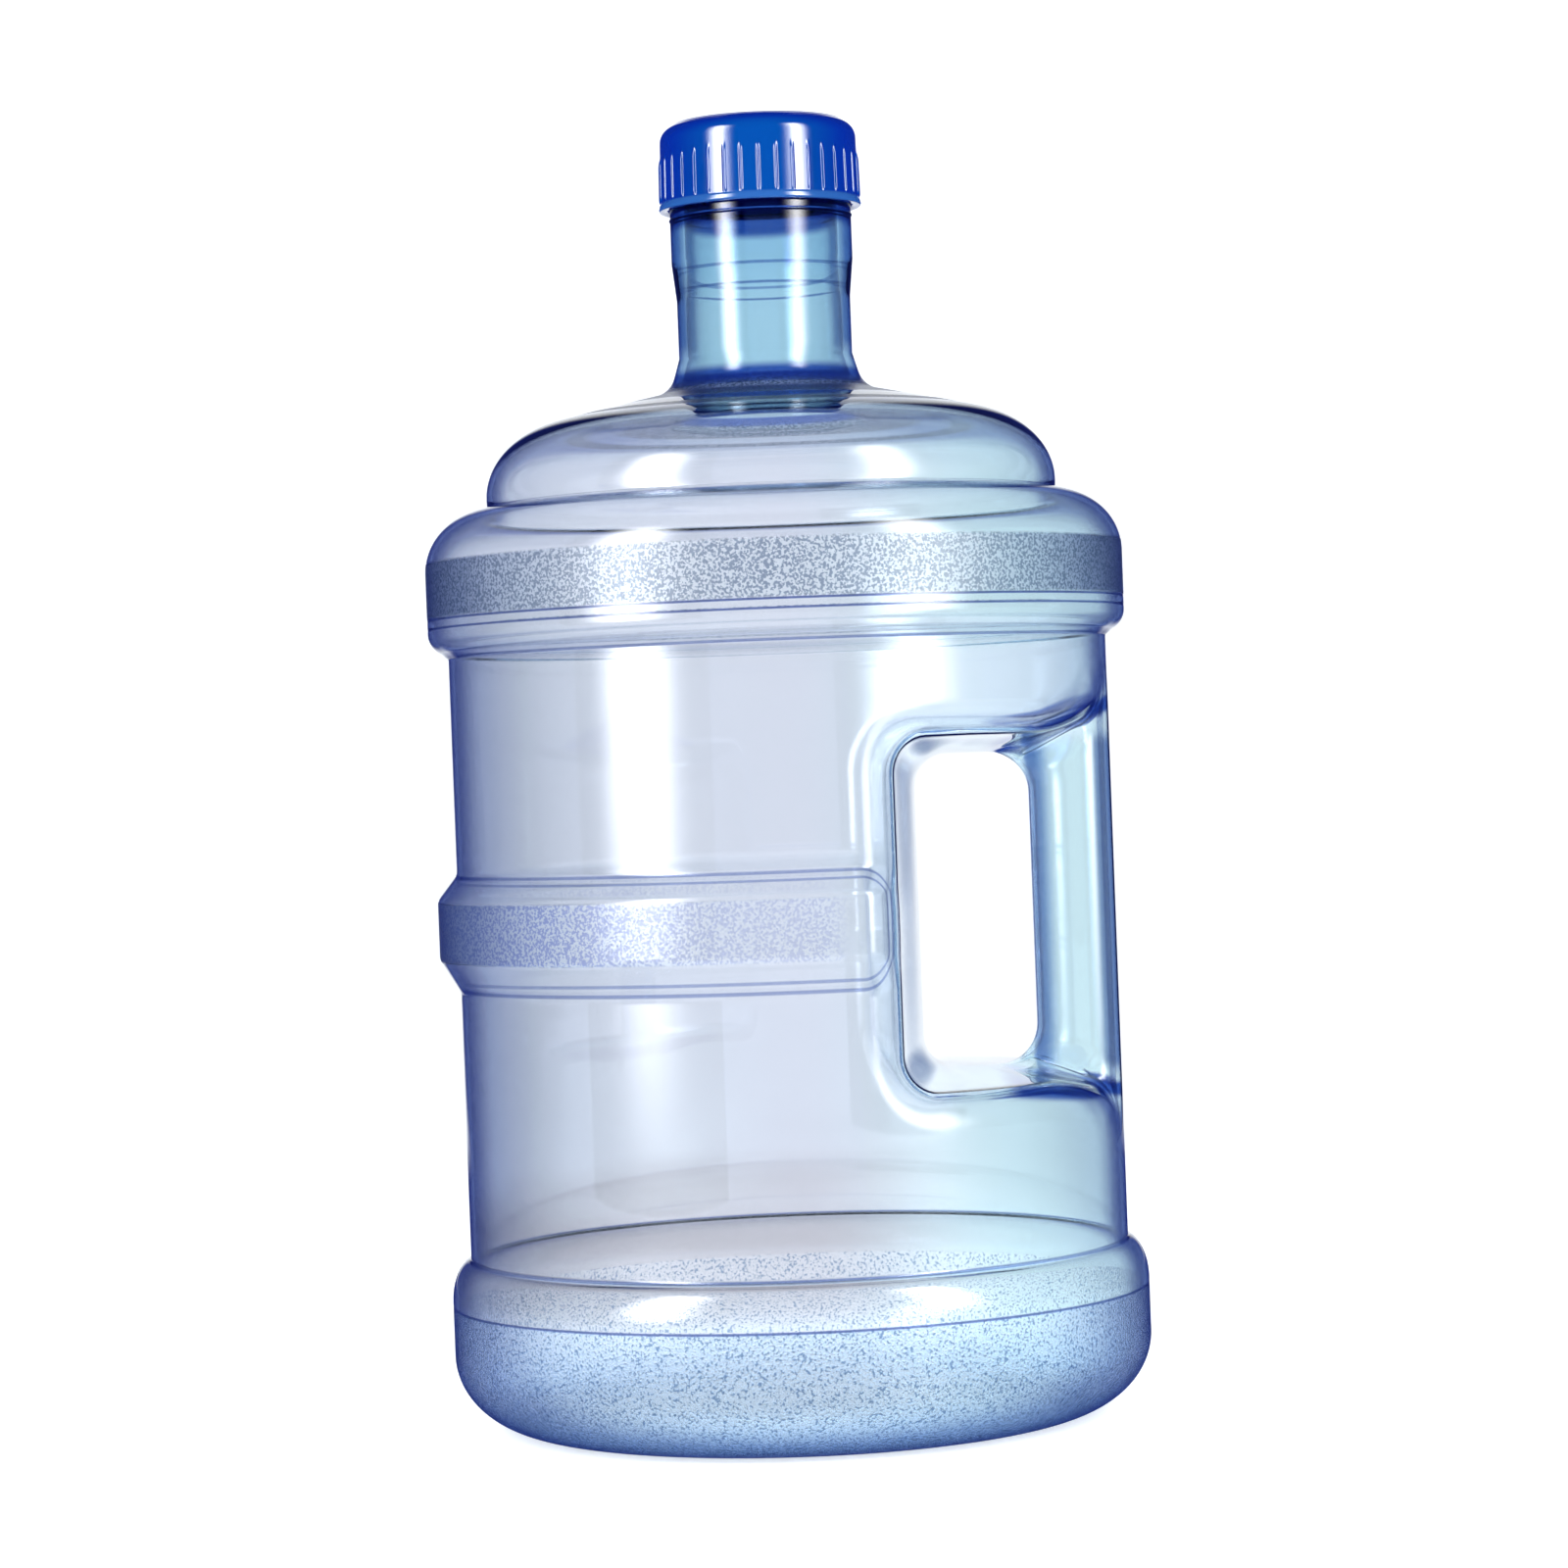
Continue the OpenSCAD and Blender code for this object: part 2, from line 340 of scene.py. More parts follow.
def bezier(p0, p1, p2, p3, t):
    s = 1 - t
    return p0 * s**3 + 3 * p1 * s * s * t + 3 * p2 * s * t * t + p3 * t**3


def unit(v):
    return v / np.maximum(np.linalg.norm(v, axis=-1, keepdims=True), 1e-9)


def recess_outlines(border):
    """Point by point: the hole's edge, the recess's sharp corner, the outer edge of its rounding, and
    how much of the point belongs to the grip."""
    u = (border[:, 0] + math.pi / 2) / (math.pi / 2)
    known = [PATCH_Z0, STRAIGHT_Z0, STRAIGHT_Z1, PATCH_Z1]
    hole_z = np.interp(border[:, 1], known, [HOLE_Z0, STRAIGHT_Z0, STRAIGHT_Z1, HOLE_Z1])
    mouth_z = np.interp(border[:, 1], known, [MOUTH_Z0, STRAIGHT_Z0, STRAIGHT_Z1, MOUTH_Z1])
    a0, a1 = -BODY_R * math.acos(MOUTH_X0 / BODY_R), -BODY_R * math.radians(GRIP_ANGLE)
    hole_x, mouth_a = HOLE_X0 + (HOLE_X1 - HOLE_X0) * u, a0 + (a1 - a0) * u
    hole, _ = round_off(np.column_stack([hole_x, hole_z]), np.array([HOLE_X0, HOLE_Z0]),
                        np.array([HOLE_X1, HOLE_Z1]), np.where(u < 0.5, 10.0, 12.5))
    corner, n = round_off(np.column_stack([mouth_a, mouth_z]), np.array([a0, MOUTH_Z0]),
                          np.array([a1, MOUTH_Z1]), np.where(u < 0.5, 11.0, 9.0))
    grip = np.clip(n[:, 0], 0, 1) ** 2
    return hole, corner, corner + n * EDGE, grip


def flared(p):
    """(angle, height) with the recess's floor and ceiling drawn apart towards the grip."""
    angle, mid, half = p[:, 0] / BODY_R, (MOUTH_Z0 + MOUTH_Z1) / 2, (MOUTH_Z1 - MOUTH_Z0) / 2
    amount = FLARE * smooth(angle, math.radians(-40), math.radians(-12))
    q = np.clip((p[:, 1] - mid) / half, -1.25, 1.25)
    return angle, p[:, 1] + amount * q**3


def recess_rows(border, count):
    """Points from the hole's edge at the jug's mid-plane out to the side wall: (row, point, xyz)."""
    w2, c2, m2, grip = recess_outlines(border)
    w = np.column_stack([w2[:, 0], np.zeros(len(w2)), w2[:, 1]])
    c, m = side_point(*flared(c2)), side_point(*flared(m2))
    m_angle, m_z = flared(m2)
    outward = np.column_stack([np.cos(m_angle), np.sin(m_angle), np.zeros(len(m))])
    tangent = c - m
    tangent = unit(tangent - outward * np.sum(tangent * outward, 1, keepdims=True))
    reach = np.linalg.norm(c - m, axis=1, keepdims=True)
    span = np.linalg.norm(w - c, axis=1, keepdims=True)
    a = c + (w - c) * np.minimum(EDGE / span, 0.5)
    third = np.linalg.norm(w - a, axis=1, keepdims=True) / 3
    forward = np.array([0, -1.0, 0])
    side = grip[:, None]
    rows = []
    for t in np.linspace(0, 1, count):
        if t < 0.5:
            wall = bezier(w, w + forward * third, a - unit(c - a) * third, a, t * 2)
        else:
            wall = bezier(a, a + (c - a) * 0.6, m + tangent * reach * 0.6, m, t * 2 - 1)
        hand = bezier(w, w + forward * GRIP_DEPTH, m + tangent * GRIP_REACH, m, t)
        rows.append(wall * (1 - side) + hand * side)
    return np.array(rows), m_angle, m_z


def add_patch(sheet, border, back):
    """One side's recess, grip half and the wall round them."""
    rows, m_angle, m_z = recess_rows(border, 37)
    rings = [side_point(m_angle + (border[:, 0] - m_angle) * k, m_z + (border[:, 1] - m_z) * k)
             for k in np.linspace(0, 1, 10)]
    pts = np.concatenate([rows, np.array(rings[1:])])
    if back:
        pts = pts * np.array([1, -1, 1])
    sheet.grid(pts, wrap=True, flip=back)


def without_grooves(pts):
    """The same points with the parting grooves filled, so that the inner skin is smooth there."""
    r, z = np.hypot(pts[:, 0], pts[:, 1]), pts[:, 2]
    near = (r > RING_R - 0.2) & (np.min([np.abs(z - g) for g in GROOVES], axis=0) < 1.1)
    out = pts.copy()
    out[near, :2] *= (RING_R / r[near])[:, None]
    return out


def jug_mesh():
    """Points, faces and, for each point, 1 on the outer skin and 0 on the inner one."""
    angles = np.radians(np.arange(COLUMNS) * 360 / COLUMNS)
    rows = side_rows()
    skin = Sheet()
    low, high = lower_line(), join(ring_line(), dome_line())
    skin.grid(revolve(low, angles), wrap=True)
    z, a = np.meshgrid(rows, angles, indexing="ij")
    quarter = COLUMNS // 4
    keep = np.zeros((len(rows), COLUMNS), bool)
    keep[:, quarter:3 * quarter] = True
    skin.grid(side_point(a, z), wrap=True, mask=keep)
    border = patch_border(rows, quarter)
    add_patch(skin, border, False)
    add_patch(skin, border, True)
    top = skin.grid(revolve(high, angles), wrap=True)[-1]
    pts, faces, back = skin.welded()
    used = np.unique(faces)
    plain = without_grooves(pts)
    thick = WALL + (NECK_R - THROAT_R - WALL) * smooth(pts[:, 2], 290, 322)
    inner = plain - corner_normals(plain, faces) * thick[:, None]
    top_ring = inner[back[top]]
    top_line = (float(np.hypot(*top_ring[:, :2].T).mean()), float(top_ring[:, 2].mean()))

    whole = Sheet()
    whole.points += [pts, inner]
    whole.faces += [faces, faces[:, ::-1] + len(pts)]
    whole.count = 2 * len(pts)
    neck = join(neck_line(), finish_line())
    whole.grid(revolve(neck, angles, neck_thread), wrap=True)
    throat = revolve(throat_line(top_line), angles)
    throat[-1] = top_ring
    whole.grid(throat, wrap=True)
    outer = np.concatenate([np.ones(len(pts)), np.zeros(len(inner)),
                            np.ones(len(neck) * COLUMNS), np.zeros(len(throat) * COLUMNS)])
    pts, faces, back = whole.welded()
    outside = np.zeros(len(pts))
    np.maximum.at(outside, back, outer)
    return pts, faces, outside


# ---------------------------------------------------------------- screw thread
def helix(angle, z, z0, turn, crest, root):
    """How much of the ridge's height is reached at each angle and height, from 0 to 1."""
    deg = np.degrees(angle)
    out = np.zeros_like(z)
    for k in range(STARTS):
        for lap in range(2):
            along = (deg - 360 * k / STARTS - 4) % 360 + 360 * lap
            off = np.abs(z - z0 - LEAD * along / 360)
            fade = np.clip(np.minimum(along, turn - along) / 30, 0, 1)
            out = np.maximum(out, np.clip((root - off) / (root - crest), 0, 1) * fade)
    return out


def neck_thread(angle, z):
    return np.where(z > COLLAR_TOP_Z + 1.5, 1.4 * helix(angle, z, THREAD_Z0, 380, 0.5, 0.94), 0)


def cap_thread(angle, z):
    return -1.7 * helix(angle, z, THREAD_Z0 + 2, 260, 0.45, 0.8)


# ---------------------------------------------------------------- cap and washer
def cap_angles():
    """Columns bunched round each grip rib."""
    step = 360 / RIBS
    near = np.array([0.0, 0.25, 0.5, 0.72, 0.95, 1.5, 3.3])
    one = np.concatenate([-near[:0:-1], near, [step / 2]])
    return np.radians(np.concatenate([k * step + one for k in range(RIBS)]))


def ribs(angle, z):
    """Height of the grip ribs at each angle and height."""
    step = 2 * math.pi / RIBS
    off = np.abs((angle + step / 2) % step - step / 2) * CAP_R
    across = np.sqrt(np.clip(1 - (off / RIB_HALF) ** 2, 0, 1))
    along = smooth(z, CAP_Z0 + 2.4, CAP_Z0 + 3.4) * (1 - smooth(z, CAP_Z0 + 13.8, CAP_Z0 + 17.2))
    return RIB_HEIGHT * across * along


def cap_outline():
    """From the rim's inner edge over the lip, up the skirt and over the crown."""
    skirt_top = CAP_Z1 - 6.4
    rim = rounded([(CAP_BORE + 0.5, CAP_Z0, 0), (LIP_R - 0.25, CAP_Z0, 0.3), (LIP_R, CAP_Z0 + 0.6, 0.4),
                   (LIP_R - 0.25, CAP_Z0 + 1.7, 0.4), (CAP_R + 0.35, CAP_Z0 + 2.3, 0.3),
                   (CAP_R + 0.3, CAP_Z0 + 3.2, 0)], 4)
    skirt = spread(np.array([[CAP_R + 0.3, CAP_Z0 + 3.2], [CAP_R, skirt_top]]), 0.8)
    crown = join(arc(CAP_R - 5, skirt_top, 5, 5.2, 0, 78, 10), np.array([[CAP_R - 4, CAP_Z1 - 1.15]]))
    top_r = np.linspace(CAP_R - 4.4, 0, 12)
    top = np.column_stack([top_r, CAP_Z1 - 0.9 * (top_r / CAP_R) ** 2])
    return np.vstack([rim, skirt[1:], crown[1:-1], top])


def cap_inside():
    """From the rim's inner edge up the bore to the middle of the washer's seat."""
    r = np.linspace(CAP_BORE - 1.2, 0, 6)
    seat = np.column_stack([r, np.full(len(r), SEAT_Z)])
    low, high = CAP_Z0 + 1.2, SEAT_Z - 1.0
    wall = rounded([(CAP_BORE + 0.5, CAP_Z0, 0), (CAP_BORE, CAP_Z0 + 0.5, 0.2), (CAP_BORE, low, 0)], 3)
    bore = spread(np.array([[CAP_BORE, low], [CAP_BORE, high]]), 0.4)
    corner = rounded([(CAP_BORE, high, 0), (CAP_BORE, SEAT_Z, 0.5), (CAP_BORE - 1.2, SEAT_Z, 0)], 4)
    return join(wall, bore, corner, seat)


def cap_mesh():
    angles = cap_angles()
    sheet = Sheet()
    sheet.grid(revolve(cap_outline(), angles, ribs), wrap=True)
    sheet.grid(revolve(cap_inside(), angles, cap_thread), wrap=True, flip=True)
    pts, faces, _ = sheet.welded()
    return pts, faces


def washer_mesh():
    """A flat disc with a shallow track for the neck's lip."""
    lo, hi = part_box("cap_washer")
    r, z0, z1 = min(hi.x, hi.y) / MM - INSET, lo.z / MM, hi.z / MM
    track = z0 + 0.25
    line = rounded([(0, z0, 0), (19, z0, 0.2), (20, track, 0.2), (r - 0.9, track, 0.2),
                    (r - 0.5, z0, 0.2), (r, z0, 0.4), (r, z1, 0.4), (0, z1, 0)], 4)
    sheet = Sheet()
    sheet.grid(revolve(spread(line, 2), np.radians(np.arange(0, 360, 3))), wrap=True)
    pts, faces, _ = sheet.welded()
    return pts, faces


# ---------------------------------------------------------------- colours
WHITE = (1.0, 1.0, 1.0)
# painted highlight: the near-white laid on the wall beside and above the handle's recess
RECESS_HIGHLIGHT_WHITE = (0.985, 0.98, 0.985)
# painted light: lavender, sky and cyan stand for how the light falls on the body's side, the handle and the
# ends
LAVENDER, CYAN, SKY = (0.905, 0.865, 0.872), (0.695, 0.814, 0.836), (0.845, 0.915, 0.895)
# painted shade: the grey laid over the waist
WAIST_SHADE_GREY = (0.82, 0.79, 0.78)
# painted shade: deep blue at the grip's ends, the neck's foot and under the cap
PAINTED_SHADE_BLUE = (0.06, 0.13, 0.48)
# painted shade: the dark blue of the lines along grooves, creases, neck step and band outline
CREASE_SHADE_BLUE = (0.22, 0.27, 0.52)
# painted shade: dark edges on the neck and on the grip's inner and outer sides
NECK_EDGE_SHADE, GRIP_INNER_EDGE_SHADE, GRIP_OUTER_EDGE_SHADE = (0.08, 0.14, 0.38), (0.38, 0.50, 0.74), (0.20, 0.28, 0.54)
RING_SPECK, BAND_SPECK = (0.16, 0.20, 0.28), (0.27, 0.31, 0.66)
FOOT_SPECK, RIM_SPECK = (0.14, 0.24, 0.42), (0.04, 0.06, 0.09)
# painted shade: the foot's lower edge darkened
LOW_EDGE_SHADE = (0.42, 0.60, 0.78)
POLYCARBONATE = (0.35, 0.70, 0.93)
CAP_BLUES = (0.0002, 0.034, 0.165), (0.0003, 0.038, 0.180)
# painted shade on the cap's slanted sides, a painted sheen on its lip, and a painted glow for its shadowed
# inside
CAP_EDGE_SHADE, CAP_LIP_SHEEN, CAP_PAINTED_GLOW = (0.0001, 0.013, 0.170), (0.015, 0.07, 0.22), (0.0, 0.05, 1.0)
SILICONE = (0.72, 0.74, 0.76), (0.80, 0.81, 0.82)
DARK_ROOM = (0.015, 0.025, 0.20)
STUDIO_WHITE, STUDIO_FILL = (1.15, 1.16, 1.18), (0.26, 0.30, 0.36)
FLOOR_PAINT, FLOOR_GLOW = (0.9, 0.9, 0.9), (0.97, 0.985, 1.0)


# ---------------------------------------------------------------- shader tools
def new_material(name):
    mat = bpy.data.materials.new(name)
    mat.use_nodes = True
    tree = mat.node_tree
    return mat, tree, tree.nodes["Principled BSDF"], tree.nodes["Material Output"]


def node(tree, kind, **values):
    n = tree.nodes.new(kind)
    for key, value in values.items():
        setattr(n, key, value)
    return n


def feed(tree, socket, value):
    """Sets a socket to a number or a colour, or links another socket to it."""
    if isinstance(value, tuple):
        socket.default_value = value + (1.0,)
    elif isinstance(value, (int, float)):
        socket.default_value = value
    else:
        tree.links.new(value, socket)


def maths(tree, operation, a, b=None):
    n = node(tree, "ShaderNodeMath", operation=operation)
    feed(tree, n.inputs[0], a)
    if b is not None:
        feed(tree, n.inputs[1], b)
    return n.outputs[0]


def times(tree, a, b):
    return maths(tree, "MULTIPLY", a, b)


def largest(tree, first, *others):
    for other in others:
        first = maths(tree, "MAXIMUM", first, other)
    return first


def ramp(tree, value, low, high, to_low=0.0, to_high=1.0):
    n = node(tree, "ShaderNodeMapRange", interpolation_type="SMOOTHSTEP")
    tree.links.new(value, n.inputs["Value"])
    for key, v in zip(("From Min", "From Max", "To Min", "To Max"), (low, high, to_low, to_high)):
        n.inputs[key].default_value = v
    return n.outputs["Result"]


def fall(tree, value, low, high, start=1.0):
    """start up to low, falling to 0 at high."""
    return ramp(tree, value, low, high, start, 0.0)


def zone(tree, value, low, high, soft):
    """1 between low and high, falling to 0 over soft at each end."""
    rise = ramp(tree, value, low - soft / 2, low + soft / 2)
    return times(tree, rise, fall(tree, value, high - soft / 2, high + soft / 2))


def colour_sockets(n, name):
    return [s for s in n if s.name == name and s.type == "RGBA"][0]


def mixed(tree, factor, a, b):
    n = node(tree, "ShaderNodeMix", data_type="RGBA")
    feed(tree, n.inputs["Factor"], factor)
    feed(tree, colour_sockets(n.inputs, "A"), a)
    feed(tree, colour_sockets(n.inputs, "B"), b)
    return colour_sockets(n.outputs, "Result")


def multiplied(tree, a, b):
    n = node(tree, "ShaderNodeMix", data_type="RGBA", blend_type="MULTIPLY")
    n.inputs["Factor"].default_value = 1.0
    feed(tree, colour_sockets(n.inputs, "A"), a)
    feed(tree, colour_sockets(n.inputs, "B"), b)
    return colour_sockets(n.outputs, "Result")


def stops(tree, value, *points):
    """A colour ramp through (position, colour) points."""
    n = node(tree, "ShaderNodeValToRGB")
    elements = n.color_ramp.elements
    while len(elements) < len(points):
        elements.new(0.5)
    for element, (at, colour) in zip(elements, points):
        element.position, element.color = at, colour + (1.0,)
    tree.links.new(value, n.inputs[0])
    return n.outputs["Color"]


def noise(tree, coord, scale, detail=2.0, rough=0.5):
    n = node(tree, "ShaderNodeTexNoise")
    n.inputs["Scale"].default_value = scale
    n.inputs["Detail"].default_value = detail
    n.inputs["Roughness"].default_value = rough
    tree.links.new(coord, n.inputs["Vector"])
    return n.outputs["Fac"]


def parted(tree, coord):
    """x, y and z of a coordinate."""
    split = node(tree, "ShaderNodeSeparateXYZ")
    tree.links.new(coord, split.inputs[0])
    return split.outputs


def texture_axes(tree, kind):
    return parted(tree, node(tree, "ShaderNodeTexCoord").outputs[kind])


def place(tree):
    """The shaded point, its x, y and height, and its distance from the axis, in metres."""
    coord = node(tree, "ShaderNodeTexCoord").outputs["Object"]
    x, y, z = parted(tree, coord)
    r = maths(tree, "SQRT", maths(tree, "ADD", times(tree, x, x), times(tree, y, y)))
    return coord, x, y, z, r


def facing_away(tree):
    """0 where the surface faces the eye, rising to 1 where it is seen edge on."""
    weight = node(tree, "ShaderNodeLayerWeight")
    weight.inputs["Blend"].default_value = 0.5
    return weight.outputs["Facing"]


def bumped(tree, shader, height, distance, strength):
    """A fine relief, distance metres high."""
    bump = node(tree, "ShaderNodeBump")
    bump.inputs["Distance"].default_value = distance
    feed(tree, bump.inputs["Height"], height)
    feed(tree, bump.inputs["Strength"], strength)
    tree.links.new(bump.outputs[0], shader.inputs["Normal"])


# ---------------------------------------------------------------- jug: material, with places in metres
def front_half(tree, y, behind=0.0):
    """1 on the front half of the jug, behind on the back half."""
    return ramp(tree, y, -0.02, 0.02, 1.0, behind)


def underside(tree, z, r):
    """1 on the jug's pushed-up floor, on both skins."""
    return times(tree, fall(tree, r, 0.078, 0.086), fall(tree, z, 0.009, 0.012))


def tint_with_painted_light(tree, x, z):
    """Painted light: lavender over the body's round side, paler blue round the handle, cyan in the neck and
    the foot, for how the light falls on each side.

    Painted shade greys the waist, and a painted highlight makes the wall beside and above the handle's recess
    nearly white."""
    handle = ramp(tree, x, 0.0, 0.075)
    ends = largest(tree, ramp(tree, z, 0.300, 0.325), fall(tree, z, 0.010, 0.035, 0.5))
    tint = mixed(tree, ends, mixed(tree, handle, LAVENDER, SKY), CYAN)
    # painted shade over the waist
    waist = times(tree, zone(tree, z, 0.042, 0.070, 0.014), fall(tree, x, 0.0, 0.06))
    tint = multiplied(tree, tint, mixed(tree, waist, WHITE, WAIST_SHADE_GREY))
    # painted highlight beside and above the recess
    beside = times(tree, zone(tree, x, 0.028, 0.046, 0.006), zone(tree, z, 0.094, 0.218, 0.010))
    above = times(tree, zone(tree, x, 0.034, 0.092, 0.02), zone(tree, z, 0.205, 0.236, 0.008))
    return mixed(tree, times(tree, largest(tree, beside, above), 0.75), tint, RECESS_HIGHLIGHT_WHITE)


def painted_crease_shade(tree, x, z, r):
    """Painted shade in deep blue at both ends of the grip, at the neck's foot and under the cap."""
    rise = times(tree, maths(tree, "SUBTRACT", x, 0.066), 0.36)
    top = zone(tree, maths(tree, "SUBTRACT", z, rise), 0.2005, 0.2056, 0.002)
    low = zone(tree, maths(tree, "ADD", z, times(tree, rise, 0.4)), 0.1005, 0.1048, 0.002)
    grip_ends = times(tree, largest(tree, top, low), ramp(tree, x, 0.060, 0.067))
    neck_foot = times(tree, zone(tree, z, 0.3135, 0.3205, 0.003), fall(tree, r, 0.030, 0.033))
    under_cap = zone(tree, z, 0.3645, 0.3720, 0.003)
    return mixed(tree, largest(tree, grip_ends, neck_foot, under_cap), WHITE, PAINTED_SHADE_BLUE)


def thin_line(tree, value, low, high):
    """1 on a thin line between low and high, which are in millimetres."""
    return zone(tree, value, low * MM, high * MM, 0.0002)


def painted_line_shade(tree, x, y, z, r):
    """Painted shade: thin dark blue lines on the parting grooves, the creases, the step in the neck and the
    outline of the mid band.
    """
    front = front_half(tree, y)
    ring_lines = [thin_line(tree, z, h - 0.35, h + 0.35) for h in GROOVES + (UNDER_RING_Z + 0.1,)]
    lines = [times(tree, line, front) for line in ring_lines]
    lines += [thin_line(tree, z, h - 0.28, h + 0.28) for h in (STEP_Z - 1.0, STEP_Z + 5.0)]
    lines.append(thin_line(tree, z, WAIST_Z - 0.35, WAIST_Z + 0.25))
    band_foot = thin_line(tree, r, BODY_R + 0.25, BODY_R + 0.85)
    near_band = times(tree, zone(tree, z, 0.130, 0.175, 0.001), front)
    lines.append(times(tree, band_foot, near_band))
    return mixed(tree, largest(tree, *lines), WHITE, CREASE_SHADE_BLUE)


def edge_tint_and_painted_shade(tree, facing, x, z, r):
    """Deepens to indigo where the plastic is seen at a slant: partly the deeper tint of a longer path through
    the plastic, partly painted shade for dark surroundings seen at the edges. Least on the dome, in the
    recess and on the underside, and lighter on the handle's side as painted light.
    """
    edge = stops(tree, facing, (0.12, WHITE), (0.38, (0.70, 0.715, 0.745)), (0.62, (0.47, 0.51, 0.66)),
                 (0.79, (0.075, 0.10, 0.31)), (0.94, (0.003, 0.006, 0.10)))
    not_edge = fall(tree, facing, 0.60, 0.78)
    # painted light: the handle's side kept lighter
    painted_lit_side = times(tree, ramp(tree, x, 0.0, 0.05, 0.0, 0.6), not_edge)
    dome = times(tree, zone(tree, z, 0.256, 0.312, 0.006), times(tree, not_edge, 0.75))
    recess = times(tree, zone(tree, x, 0.030, 0.0745, 0.003), zone(tree, z, 0.101, 0.209, 0.004))
    floor = times(tree, underside(tree, z, r), 0.65)
    less = largest(tree, times(tree, recess, 0.95), painted_lit_side, dome, floor)
    return mixed(tree, less, edge, (1.0, 0.99, 0.99))


def painted_narrow_edge_shade(tree, facing, x, z):
    """Painted shade: wider dark edges on the neck and the grip, which are much narrower than the body."""
    neck = times(tree, zone(tree, z, 0.326, 0.374, 0.006), ramp(tree, facing, 0.40, 0.62))
    grip = zone(tree, z, 0.104, 0.2055, 0.006)
    inner = times(tree, ramp(tree, x, 0.0735, 0.0750), fall(tree, x, 0.0765, 0.0830))
    tint = mixed(tree, neck, WHITE, NECK_EDGE_SHADE)
    tint = mixed(tree, times(tree, grip, inner), tint, GRIP_INNER_EDGE_SHADE)
    return mixed(tree, times(tree, grip, ramp(tree, x, 0.0940, 0.1000)), tint, GRIP_OUTER_EDGE_SHADE)


def grain_zones(tree, x, y, z, r):
    """Where the moulded grain lies: base, shoulder ring, mid band (and its full height) and dome rims."""
    foot = zone(tree, z, -0.01, BASE_LINE_Z * MM, 0.0006)
    ring = zone(tree, z, (RING_Z0 + 0.2) * MM, (RING_Z1 + 2.8) * MM, 0.0012)
    ring = times(tree, ring, largest(tree, front_half(tree, y), ramp(tree, z, 0.2545, 0.2560)))
    on_band = zone(tree, z, 0.1442, 0.1622, 0.0008)
    band = times(tree, on_band, fall(tree, x, 0.010, 0.020))
    band = times(tree, band, ramp(tree, x, -0.07, 0.0, 1.0, 0.45))
    band = times(tree, band, front_half(tree, y, 0.4))
    rings = largest(tree, zone(tree, r, 0.057, 0.0635, 0.002), zone(tree, r, 0.0300, 0.047, 0.004))
    rim = times(tree, rings, ramp(tree, z, 0.300, 0.3003))
    return foot, ring, band, on_band, rim


def specks_and_painted_shade(tree, facing, spots, foot, on_band, rim, z, r):
    """The grain's dark specks between clear plastic, with painted shade: both darker where they are seen at a
    slant, and the foot darker at its lower edge.
    """
    dark = mixed(tree, foot, mixed(tree, on_band, RING_SPECK, BAND_SPECK), FOOT_SPECK)
    dark = mixed(tree, rim, dark, RIM_SPECK)
    # painted shade: darker where seen at a slant
    shade = stops(tree, facing, (0.02, WHITE), (0.30, (0.74, 0.77, 0.85)), (0.55, (0.30, 0.35, 0.54)),
                  (0.88, (0.06, 0.08, 0.28)))
    under = underside(tree, z, r)
    pale = times(tree, foot, largest(tree, fall(tree, facing, 0.15, 0.42, 0.95), under))
    shade = mixed(tree, pale, shade, WHITE)
    # painted shade on the foot's lower edge
    low = times(tree, fall(tree, z, 0.001, 0.020), ramp(tree, r, 0.082, 0.090))
    shade = multiplied(tree, shade, mixed(tree, low, WHITE, LOW_EDGE_SHADE))
    return multiplied(tree, mixed(tree, spots, dark, WHITE), shade)


def jug_material():
    mat, tree, glass, out = new_material("clear_blue_polycarbonate")
    coord, x, y, z, r = place(tree)
    outside = node(tree, "ShaderNodeAttribute", attribute_name="outside").outputs["Fac"]
    foot, ring, band, on_band, rim = grain_zones(tree, x, y, z, r)
    grain = times(tree, largest(tree, foot, ring, band, rim), ramp(tree, outside, 0.4, 0.6))
    fine = noise(tree, coord, 1150.0, 2.0, 0.6)
    spots = ramp(tree, maths(tree, "ADD", fine, times(tree, foot, 0.07)), 0.465, 0.535)
    facing = facing_away(tree)
    shaded_specks = specks_and_painted_shade(tree, facing, spots, foot, on_band, rim, z, r)
    # the clear plastic's colour with painted light and shade laid on it: side colours, dark edges, deep blue
    # zones and crease lines
    clear = multiplied(tree, tint_with_painted_light(tree, x, z), edge_tint_and_painted_shade(tree, facing, x, z, r))
    clear = multiplied(tree, clear, painted_crease_shade(tree, x, z, r))
    clear = multiplied(tree, clear, painted_narrow_edge_shade(tree, facing, x, z))
    colour = multiplied(tree, mixed(tree, grain, clear, shaded_specks), painted_line_shade(tree, x, y, z, r))
    tree.links.new(colour, glass.inputs["Base Color"])
    rough = maths(tree, "SUBTRACT", times(tree, grain, 0.30), times(tree, foot, 0.17))
    tree.links.new(maths(tree, "MAXIMUM", rough, 0.015), glass.inputs["Roughness"])
    glass.inputs["Transmission Weight"].default_value = 1.0
    glass.inputs["IOR"].default_value = 1.5
    bumped(tree, glass, fine, 0.0003, times(tree, grain, 0.6))
    absorb = node(tree, "ShaderNodeVolumeAbsorption")
    absorb.inputs["Color"].default_value = POLYCARBONATE + (1.0,)
    absorb.inputs["Density"].default_value = 120.0
    tree.links.new(absorb.outputs[0], out.inputs["Volume"])
    return mat


